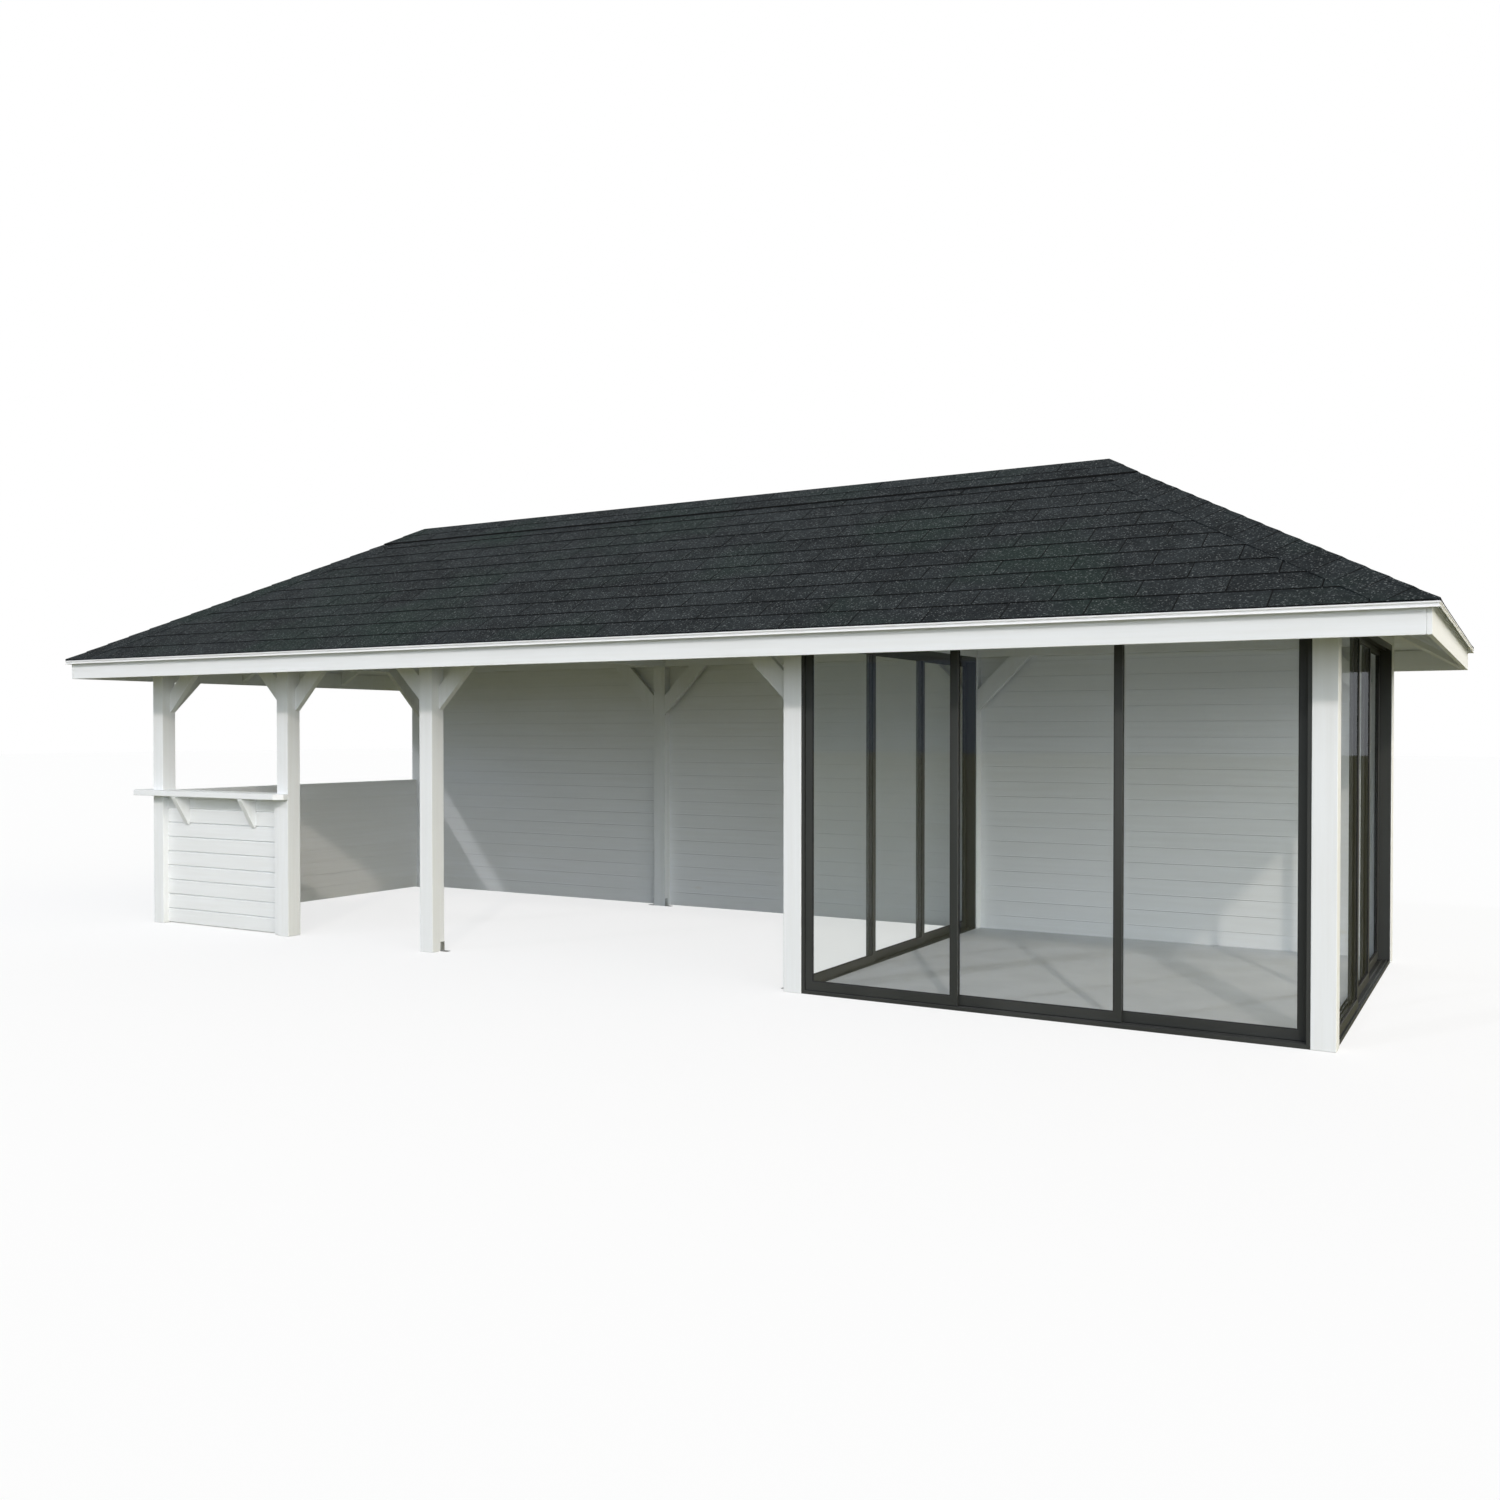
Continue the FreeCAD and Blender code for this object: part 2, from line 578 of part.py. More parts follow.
def main():
    """Build every piece and write it to its own file."""
    os.makedirs("parts", exist_ok=True)
    front, back = posts_front(), posts_back()
    for index, post in enumerate(front, 1):
        save(f"front_post_{index}", [post])
    for index, post in enumerate(back, 1):
        save(f"back_post_{index}", [post])

    long_plates = plates_long()
    end_plates = cross_beams([POST_LINES[0], POST_LINES[-1]])
    save("front_wall_plate", long_plates[:1])
    save("back_wall_plate", long_plates[1:])
    save("end_wall_plates", end_plates)
    save("tie_beams", cross_beams(POST_LINES[1:-1]))
    save("knee_braces", knee_braces())

    plates = long_plates + end_plates
    long_lines = rafter_lines(POST_LINES[-1])
    common = [x for x in long_lines if abs(x) < APEX_X]
    jacks = [x for x in long_lines if abs(x) >= APEX_X]
    save("ridge_board", [ridge_board()])
    save("hip_rafters", hip_rafters(plates))
    save("common_rafters", [r for s in LONG_SLOPES for r in slope_rafters(s, common, plates)])
    save("jack_rafters", [r for s in LONG_SLOPES for r in slope_rafters(s, jacks, plates)]
         + [r for s in END_SLOPES for r in slope_rafters(s, rafter_lines(BAY / 2), plates)])
    save("roof_deck", roof_deck())
    save("shingle_courses", shingle_courses())
    save("ridge_cap", [ridge_cap()])
    save("hip_caps", hip_caps())
    save("fascia_boards", fascia())
    save("eave_edge_strips", edge_strips())

    save("back_wall", back_wall())
    save("left_half_wall", [left_half_wall()])
    save("bar_wall", [bar_wall()])
    save("bar_shelf", [bar_shelf(front[:2])])
    save("shelf_brackets", shelf_brackets())
    save("post_anchors", post_anchors())
    save("room_floor", [room_floor(front + back)])

    for wall, (degrees, shift) in SLIDING_WALLS.items():
        save(f"{wall}_track_frame", [turned(piece, degrees, shift) for piece in track_frame()])
        for index in range(TRACKS):
            frame, pane = panel(index)
            save(f"{wall}_panel_{index + 1}", [turned(frame, degrees, shift)])
            save(f"{wall}_glass_{index + 1}", [turned(pane, degrees, shift)])

    travel = panel_width() - PANEL_OVERLAP
    print(f"panel width {panel_width():.1f}, travel {travel:.1f}, eaves {EAVE_X:.1f} {EAVE_Y:.1f}, "
          f"ridge to {roof_z(EAVE_Y, -RIDGE_CAP):.1f}, apex at {APEX_X:.1f}")


main()
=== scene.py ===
"""Looks of a white timber pavilion: finishes, boards, shingles, glass walls, camera and lights.

Everything is in metres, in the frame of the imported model: origin on the ground under the middle
of the plan, +X along the front to the right, +Y to the back, +Z up.
"""

import logging
import math
import random
from dataclasses import dataclass, field
from enum import Enum
from typing import Iterable, Sequence

import bmesh
import bpy
from mathutils import Euler, Matrix, Vector


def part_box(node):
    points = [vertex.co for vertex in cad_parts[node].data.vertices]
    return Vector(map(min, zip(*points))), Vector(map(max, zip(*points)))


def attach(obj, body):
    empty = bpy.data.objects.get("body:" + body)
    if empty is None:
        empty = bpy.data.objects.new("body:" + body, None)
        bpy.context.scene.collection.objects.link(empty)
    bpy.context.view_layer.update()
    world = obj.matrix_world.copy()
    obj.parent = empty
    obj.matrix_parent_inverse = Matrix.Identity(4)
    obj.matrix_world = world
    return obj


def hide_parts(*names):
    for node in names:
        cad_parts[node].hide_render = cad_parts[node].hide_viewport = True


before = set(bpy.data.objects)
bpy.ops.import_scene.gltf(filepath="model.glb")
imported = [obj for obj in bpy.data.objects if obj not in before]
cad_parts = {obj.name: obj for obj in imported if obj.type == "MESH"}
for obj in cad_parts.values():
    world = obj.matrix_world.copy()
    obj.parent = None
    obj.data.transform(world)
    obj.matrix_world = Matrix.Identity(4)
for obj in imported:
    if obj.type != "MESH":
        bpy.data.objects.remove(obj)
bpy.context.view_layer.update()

log = logging.getLogger("pavilion")

Socket = bpy.types.NodeSocket
Material = bpy.types.Material
Pair = tuple[float, float]
Point = tuple[float, float, float]
Colour = tuple[float, float, float, float]

BUILDING = "building"
SEED = 41
PITCH = math.radians(30)
ROOT = math.sqrt(2)
WHITE = (1.0, 1.0, 1.0, 1.0)
# Tone code for the dark bare-bitumen colour: real on cut edges and butts, painted shade on the under-layer seen
# in the slits.
CUT_EDGE_AND_SLIT_SHADE = -1.0
DISC_SIDES = 12


class Axis(Enum):
    """Direction that the grain of a timber runs in."""

    X = (1.4, 34.0, 34.0)
    Y = (34.0, 1.4, 34.0)
    Z = (34.0, 34.0, 1.4)


class Slot(Enum):
    """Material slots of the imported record."""

    TIMBER = "painted_timber"
    SHINGLE = "roof_shingle"
    EDGE = "edge_metal"
    STEEL = "galvanised_steel"
    FLOOR = "floor_screed"
    ALUMINIUM = "dark_aluminium"
    GLASS = "clear_glass"


class NodeTree:
    """Short way of writing the nodes of a material or of the world."""

    def __init__(self, name: str, world: bool = False) -> None:
        """Start an empty tree of a new material, or of a new world."""
        self.owner = bpy.data.worlds.new(name) if world else bpy.data.materials.new(name)
        self.owner.use_nodes = True
        self.tree = self.owner.node_tree
        self.tree.nodes.clear()
        self.output = self.tree.nodes.new("ShaderNodeOutputWorld" if world else "ShaderNodeOutputMaterial")

    def add(self, kind: str, **settings: object) -> bpy.types.Node:
        """Add a node.

        Args:
            kind: Type of the node, without its "ShaderNode" prefix.
            settings: Properties of the node, or values of its sockets.

        Returns:
            The new node.
        """
        node = self.tree.nodes.new(f"ShaderNode{kind}")
        for key, value in settings.items():
            if key in node.inputs:
                node.inputs[key].default_value = value
            else:
                setattr(node, key, value)
        return node

    def link(self, source: Socket, target: Socket) -> None:
        """Join two sockets."""
        self.tree.links.new(source, target)

    def coordinates(self, scale: Sequence[float]) -> Socket:
        """Object coordinates, scaled along X, Y and Z."""
        place = self.add("TexCoord")
        mapping = self.add("Mapping", Scale=tuple(scale))
        self.link(place.outputs["Object"], mapping.inputs["Vector"])
        return mapping.outputs["Vector"]

    def noise(self, scale: Sequence[float], detail: float = 3.0, roughness: float = 0.5) -> Socket:
        """Noise at a scale in each direction.

        Args:
            scale: Scale along X, Y and Z, in waves a metre.
            detail: Octaves of the noise.
            roughness: Strength of the finer octaves.

        Returns:
            Socket of the noise's value.
        """
        node = self.add("TexNoise", Scale=1.0, Detail=detail, Roughness=roughness)
        self.link(self.coordinates(scale), node.inputs["Vector"])
        return node.outputs["Fac"]

    def spots(self, scale: Sequence[float], output: str = "Distance") -> Socket:
        """Cells of a Voronoi pattern.

        Args:
            scale: Cells a metre along X, Y and Z.
            output: Name of the socket wanted.

        Returns:
            That socket.
        """
        node = self.add("TexVoronoi", Scale=1.0)
        self.link(self.coordinates(scale), node.inputs["Vector"])
        return node.outputs[output]

    def tone(self, name: str) -> Socket:
        """Value stored on each face of the mesh under a name."""
        return self.add("Attribute", attribute_name=name).outputs["Fac"]

    def ramp(self, value: Socket, stops: Iterable[Pair]) -> Socket:
        """Map a value through straight runs between stops.

        Args:
            value: Socket of the value.
            stops: Pairs of a position and a grey level.

        Returns:
            Socket of the grey level.
        """
        node = self.add("ValToRGB")
        elements = node.color_ramp.elements
        for index, (place, level) in enumerate(stops):
            element = elements[index] if index < 2 else elements.new(place)
            element.position = place
            element.color = (level, level, level, 1.0)
        self.link(value, node.inputs["Fac"])
        return node.outputs["Color"]

    def blend(self, factor: Socket, low: Colour | Socket, high: Colour | Socket) -> Socket:
        """Mix two colours.

        Args:
            factor: Socket that is 0 for the first colour and 1 for the second.
            low: First colour, or its socket.
            high: Second colour, or its socket.

        Returns:
            Socket of the mixed colour.
        """
        node = self.add("Mix", data_type="RGBA")
        self.link(factor, node.inputs[0])
        for source, target in ((low, node.inputs[6]), (high, node.inputs[7])):
            if isinstance(source, tuple):
                target.default_value = source
            else:
                self.link(source, target)
        return node.outputs[2]

    def math(self, operation: str, first: Socket, second: float | Socket) -> Socket:
        """Join a socket and a second value, or its socket, by an operation."""
        node = self.add("Math", operation=operation)
        self.link(first, node.inputs[0])
        if isinstance(second, float):
            node.inputs[1].default_value = second
        else:
            self.link(second, node.inputs[1])
        return node.outputs[0]

    def bump(self, height: Socket, distance: float, strength: float = 1.0) -> Socket:
        """Bump from a height.

        Args:
            height: Socket of the height, from 0 to 1.
            distance: Depth in metres of a height of 1.
            strength: Share of the bump that shows.

        Returns:
            Socket of the bumped normal.
        """
        node = self.add("Bump", Distance=distance, Strength=strength)
        self.link(height, node.inputs["Height"])
        return node.outputs["Normal"]

    def surface(self, **sockets: object) -> Material:
        """Finish with a Principled shader.

        Args:
            sockets: Values or sockets by name, with underscores for the spaces.

        Returns:
            The finished material.
        """
        shader = self.add("BsdfPrincipled")
        for key, value in sockets.items():
            target = shader.inputs[key.replace("_", " ")]
            if isinstance(value, Socket):
                self.link(value, target)
            else:
                target.default_value = value
        return self.finish(shader)

    def shaders(self, factor: Socket, low: bpy.types.Node, high: bpy.types.Node) -> bpy.types.Node:
        """Mix two shaders by a factor that is 0 for the first and 1 for the second."""
        mix = self.add("MixShader")
        self.link(factor, mix.inputs[0])
        self.link(low.outputs[0], mix.inputs[1])
        self.link(high.outputs[0], mix.inputs[2])
        return mix

    def seen(self) -> Socket:
        """Socket that is 1 for what the camera sees, straight or through glass."""
        path = self.add("LightPath")
        return self.math("MAXIMUM", path.outputs["Is Camera Ray"], path.outputs["Is Transmission Ray"])

    def finish(self, shader: bpy.types.Node) -> bpy.types.ID:
        """Show a shader, and return the material or world."""
        self.link(shader.outputs[0], self.output.inputs["Surface"])
        return self.owner


@dataclass(frozen=True)
class PaintedTimber:
    """Opaque white paint on planed softwood, with the grain and a few knots showing through."""

    grain: Axis
    base: Colour = (0.795, 0.818, 0.835, 1.0)
    worn: Colour = (0.730, 0.745, 0.742, 1.0)
    knot: Colour = (0.700, 0.675, 0.600, 1.0)
    knots_a_metre: float = 1.3
    knot_radius: float = 0.020
    grain_depth: float = 0.0005
    brush_depth: float = 0.0002

    def make(self) -> Material:
        """Build the material."""
        tree = NodeTree(f"painted_timber_{self.grain.name.lower()}")
        scale = self.grain.value
        streaks = tree.noise(scale, detail=4.0, roughness=0.6)
        brush = tree.noise([s * 6.0 for s in scale], detail=2.0)
        cloud = tree.noise((1.1, 1.1, 1.1), detail=2.0)
        colour = tree.blend(tree.ramp(streaks, ((0.35, 0.0), (0.75, 0.6))), self.base, self.worn)
        colour = tree.blend(tree.ramp(cloud, ((0.45, 0.0), (0.75, 0.35))), colour, self.worn)
        colour = tree.blend(tree.math("MULTIPLY", tree.tone("tone"), 0.30), colour, self.worn)
        spread = [self.knots_a_metre * (0.6 if s < 10 else 1.6) for s in scale]
        centre = tree.spots(spread)
        knot = tree.ramp(centre, ((0.0, 0.55), (self.knot_radius * self.knots_a_metre * 1.8, 0.0)))
        colour = tree.blend(knot, colour, self.knot)
        height = tree.math("ADD", streaks, tree.math("MULTIPLY", brush, self.brush_depth / self.grain_depth))
        return tree.surface(Base_Color=colour, Roughness=tree.ramp(brush, ((0.3, 0.42), (0.7, 0.55))),
                            Specular_IOR_Level=0.45, Normal=tree.bump(height, self.grain_depth))


@dataclass(frozen=True)
class MineralShingle:
    """Bitumen shingle with crushed stone on it, patched from tab to tab."""

    dark: Colour = (0.0035, 0.0052, 0.0070, 1.0)
    pale: Colour = (0.0215, 0.0272, 0.0305, 1.0)
    green: Colour = (0.0115, 0.0225, 0.0195, 1.0)
    fleck: Colour = (0.160, 0.175, 0.178, 1.0)
    # Dark bare-bitumen colour: real on cut edges, and painted shade where it covers the under-layer in the
    # slits between tabs.
    cut: Colour = (0.0055, 0.0060, 0.0065, 1.0)
    stones_a_metre: float = 150.0
    stone_depth: float = 0.0012
    tab_share: float = 0.30
    mottle_share: float = 0.70
    fleck_share: float = 0.75

    def make(self) -> Material:
        """Build the material."""
        tree = NodeTree("mineral_shingle")
        grid = (self.stones_a_metre,) * 3
        stones = tree.spots(grid, "Color")
        separate = tree.add("SeparateColor")
        tree.link(stones, separate.inputs[0])
        cloud = tree.noise((1.1, 1.1, 1.5), detail=3.0)
        mottle = tree.ramp(tree.noise((5.0, 5.0, 6.0), detail=6.0, roughness=0.7), ((0.35, 0.0), (0.67, 1.0)))
        tone = tree.math("ADD", tree.math("MULTIPLY", tree.tone("tone"), self.tab_share),
                         tree.math("MULTIPLY", mottle, self.mottle_share))
        colour = tree.blend(tone, self.dark, self.pale)
        colour = tree.blend(tree.ramp(cloud, ((0.48, 0.0), (0.66, 0.80))), colour, self.green)
        shade = tree.ramp(separate.outputs[0], ((0.0, 0.0), (0.80, 0.04), (0.93, 0.35), (1.0, 1.0)))
        colour = tree.blend(tree.math("MULTIPLY", shade, self.fleck_share), colour, self.fleck)
        # Faces with the cut-edge tone go dark: real on cut edges, painted shade on the under-layer in the
        # slits.
        colour = tree.blend(tree.math("LESS_THAN", tree.tone("tone"), CUT_EDGE_AND_SLIT_SHADE / 2), colour, self.cut)
        height = tree.math("ADD", separate.outputs[1], tree.noise((420.0, 420.0, 420.0)))
        return tree.surface(Base_Color=colour, Roughness=0.90, Specular_IOR_Level=0.12,
                            Normal=tree.bump(height, self.stone_depth, 0.7))


@dataclass(frozen=True)
class BrightMetal:
    """Rolled sheet metal with a faint drawn grain."""

    name: str = "mill_aluminium"
    base: Colour = (0.86, 0.87, 0.88, 1.0)
    roughness: float = 0.42
    grain: float = 0.0001
    metallic: float = 0.25

    def make(self) -> Material:
        """Build the material."""
        tree = NodeTree(self.name)
        lines = tree.noise((6.0, 6.0, 320.0), detail=2.0)
        spangle = tree.noise((60.0, 60.0, 60.0), detail=2.0)
        rough = tree.ramp(spangle, ((0.3, self.roughness - 0.06), (0.7, self.roughness + 0.10)))
        return tree.surface(Base_Color=self.base, Metallic=self.metallic, Roughness=rough,
                            Normal=tree.bump(lines, self.grain))


@dataclass(frozen=True)
class PowderCoat:
    """Fine-textured dark powder coat on aluminium."""

    base: Colour = (0.026, 0.028, 0.026, 1.0)
    faded: Colour = (0.040, 0.042, 0.039, 1.0)
    texture: float = 0.00012

    def make(self) -> Material:
        """Build the material."""
        tree = NodeTree("powder_coat")
        skin = tree.noise((900.0, 900.0, 900.0), detail=2.0)
        cloud = tree.noise((1.7, 1.7, 0.6), detail=3.0)
        colour = tree.blend(tree.ramp(cloud, ((0.40, 0.0), (0.75, 1.0))), self.base, self.faded)
        return tree.surface(Base_Color=colour, Roughness=tree.ramp(cloud, ((0.3, 0.40), (0.8, 0.52))),
                            Specular_IOR_Level=0.5, Normal=tree.bump(skin, self.texture))


@dataclass(frozen=True)
class SoftSeal:
    """Black rubber gaskets and brush seals."""

    base: Colour = (0.014, 0.014, 0.015, 1.0)

    def make(self) -> Material:
        """Build the material."""
        tree = NodeTree("soft_seal")
        pile = tree.noise((700.0, 700.0, 90.0), detail=2.0)
        return tree.surface(Base_Color=self.base, Roughness=tree.ramp(pile, ((0.3, 0.6), (0.7, 0.8))),
                            Normal=tree.bump(pile, 0.0002))


@dataclass(frozen=True)
class WindowGlass:
    """Clear float glass, a little green, that lets the light through."""

    tint: Colour = (0.980, 0.986, 0.983, 1.0)
    index: float = 1.5
    mirror: float = 1.7
    most: float = 0.11
    waviness: float = 0.0006
    polish: float = 0.015

    def make(self) -> Material:
        """Build the material."""
        tree = NodeTree("window_glass")
        clear = tree.add("BsdfTransparent", Color=self.tint)
        wave = tree.bump(tree.noise((1.3, 1.3, 0.9), detail=1.0), self.waviness)
        gloss = tree.add("BsdfGlossy", Color=WHITE, Roughness=self.polish)
        tree.link(wave, gloss.inputs["Normal"])
        edge = tree.add("Fresnel", IOR=self.index)
        outside = tree.add("Math", operation="SUBTRACT")
        outside.inputs[0].default_value = 1.0
        tree.link(tree.add("NewGeometry").outputs["Backfacing"], outside.inputs[1])
        shine = tree.math("MINIMUM", tree.math("MULTIPLY", edge.outputs[0], self.mirror), self.most)
        return tree.finish(tree.shaders(tree.math("MULTIPLY", shine, outside.outputs[0]), clear, gloss))


@dataclass(frozen=True)
class SmoothConcrete:
    """Power-floated concrete with soft clouds and fine sand."""

    base: Colour = (0.640, 0.670, 0.710, 1.0)
    damp: Colour = (0.560, 0.590, 0.630, 1.0)

    def make(self) -> Material:
        """Build the material."""
        tree = NodeTree("smooth_concrete")
        cloud = tree.noise((1.6, 1.6, 1.0), detail=5.0, roughness=0.6)
        sand = tree.noise((260.0, 260.0, 260.0), detail=2.0)
        colour = tree.blend(tree.ramp(cloud, ((0.35, 0.0), (0.70, 1.0))), self.base, self.damp)
        return tree.surface(Base_Color=colour, Roughness=tree.ramp(cloud, ((0.3, 0.52), (0.7, 0.68))),
                            Normal=tree.bump(sand, 0.0003))


@dataclass
class Finishes:
    """Every finish of the pavilion, made once."""

    timber: dict[Axis, Material] = field(
        default_factory=lambda: {axis: PaintedTimber(axis).make() for axis in Axis})
    shingle: Material = field(default_factory=MineralShingle().make)
    edge: Material = field(default_factory=BrightMetal().make)
    steel: Material = field(default_factory=BrightMetal(
        "galvanised_sheet", (0.50, 0.51, 0.52, 1.0), 0.42, 0.0002, 0.8).make)
    aluminium: Material = field(default_factory=PowderCoat().make)
    seal: Material = field(default_factory=SoftSeal().make)
    glass: Material = field(default_factory=WindowGlass().make)
    concrete: Material = field(default_factory=SmoothConcrete().make)


class Draft:
    """Mesh being put together from closed solids, each with a tone of its own."""

    def __init__(self) -> None:
        """Start an empty mesh."""
        self.points: list[Vector] = []
        self.faces: list[list[int]] = []
        self.tones: list[float] = []

    def sweep(self, near: Sequence[Point], far: Sequence[Point], tone: float = 0.0,
              sides: Sequence[float] | None = None) -> None:
        """Add the solid between two outlines with the same number of points.

        Args:
            near: First outline.
            far: Second outline.
            tone: Tone of its faces.
            sides: Tone of each face between the outlines, where they differ.
        """
        start, count = len(self.points), len(near)
        self.points += [Vector(point) for point in (*near, *far)]
        faces = [(i, (i + 1) % count, count + (i + 1) % count, count + i) for i in range(count)]
        faces += [tuple(range(count))[::-1], tuple(range(count, 2 * count))]
        self.faces += [[start + corner for corner in face] for face in faces]
        self.tones += [*(sides or [tone] * count), tone, tone]

    def block(self, low: Point, high: Point, tone: float = 0.0) -> None:
        """Add a block between two corners."""
        (x0, y0, z0), (x1, y1, z1) = low, high
        self.sweep([(x0, y0, z0), (x1, y0, z0), (x1, y1, z0), (x0, y1, z0)],
                   [(x0, y0, z1), (x1, y0, z1), (x1, y1, z1), (x0, y1, z1)], tone)

    def disc(self, centre: Point, axis: Point, radius: float, height: float) -> None:
        """Add a short round pin.

        Args:
            centre: Middle of its foot.
            axis: Direction that it stands in, of length 1.
            radius: Its radius.
            height: Its height.
        """
        turn = Vector((0, 0, 1)).rotation_difference(Vector(axis)).to_matrix()
        ring = [turn @ Vector((radius * math.cos(a), radius * math.sin(a), 0))
                for a in (2 * math.pi * i / DISC_SIDES for i in range(DISC_SIDES))]
        foot = [Vector(centre) + point for point in ring]
        rise = Vector(axis) * height
        self.sweep(foot, [point + rise for point in foot])

    def build(self, name: str, material: Material, slot: Slot, body: str = BUILDING,
              bevel: float = 0.0) -> bpy.types.Object:
        """Make the object, and let it ride on its body.

        Args:
            name: Name of the piece.
            material: Its finish.
            slot: Slot of the record that its finish belongs to; not used.
            body: Body that it moves with.
            bevel: Width of the rounding of its edges.

        Returns:
            The new object.
        """
        mesh = bpy.data.meshes.new(name)
        mesh.from_pydata([tuple(point) for point in self.points], [], self.faces)
        mesh.attributes.new("tone", "FLOAT", "FACE").data.foreach_set("value", self.tones)
        work = bmesh.new()
        work.from_mesh(mesh)
        bmesh.ops.recalc_face_normals(work, faces=work.faces)
        work.to_mesh(mesh)
        work.free()
        mesh.materials.append(material)
        piece = bpy.data.objects.new(name, mesh)
        bpy.context.scene.collection.objects.link(piece)
        if bevel:
            round_edges(piece, bevel, weld=False)
        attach(piece, body)
        log.info("%s: %d faces on %s", name, len(mesh.polygons), body)
        return piece


def round_edges(piece: bpy.types.Object, width: float, weld: bool = True) -> None:
    """Round the sharp edges of a piece with modifiers.

    Args:
        piece: The piece.
        width: Width of the rounding.
        weld: Whether its corners are first joined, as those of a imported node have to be.
    """
    if weld:
        joined = piece.modifiers.new("joined_corners", "WELD")
        joined.merge_threshold = 0.00005
    rounded = piece.modifiers.new("eased_edges", "BEVEL")
    rounded.width = width
    rounded.segments = 2
    rounded.limit_method = "ANGLE"
    rounded.angle_limit = math.radians(35)
    rounded.harden_normals = False


def dress(node: str, material: Material, ease: float = 0.0) -> None:
    """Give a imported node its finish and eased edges.

    Args:
        node: Name of the node.
        material: Its finish.
        ease: Width of the rounding of its edges.
    """
    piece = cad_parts[node]
    piece.data.materials.clear()
    piece.data.materials.append(material)
    if ease:
        round_edges(piece, ease)
    log.info("%s: dressed", node)


@dataclass
class TimberFrame:
    """Posts, plates, beams, braces and rafters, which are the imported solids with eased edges."""

    finishes: Finishes
    ease: float = 0.003
    shelf_ease: float = 0.004
    fascia_ease: float = 0.002
    uprights: tuple[str, ...] = ("front_post", "back_post")
    along_x: tuple[str, ...] = ("front_wall_plate", "back_wall_plate", "ridge_board")
    along_y: tuple[str, ...] = ("end_wall_plates", "tie_beams", "common_rafters", "jack_rafters",
                                "hip_rafters")
    along_z: tuple[str, ...] = ("knee_braces", "shelf_brackets")

    def make(self) -> None:
        """Dress every member."""
        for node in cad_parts:
            if node.startswith(self.uprights):
                dress(node, self.finishes.timber[Axis.Z], self.ease)
        for axis, nodes in ((Axis.X, self.along_x), (Axis.Y, self.along_y), (Axis.Z, self.along_z)):
            for node in nodes:
                dress(node, self.finishes.timber[axis], self.ease)
        dress("bar_shelf", self.finishes.timber[Axis.X], self.shelf_ease)
        dress("fascia_boards", self.finishes.timber[Axis.X], self.fascia_ease)


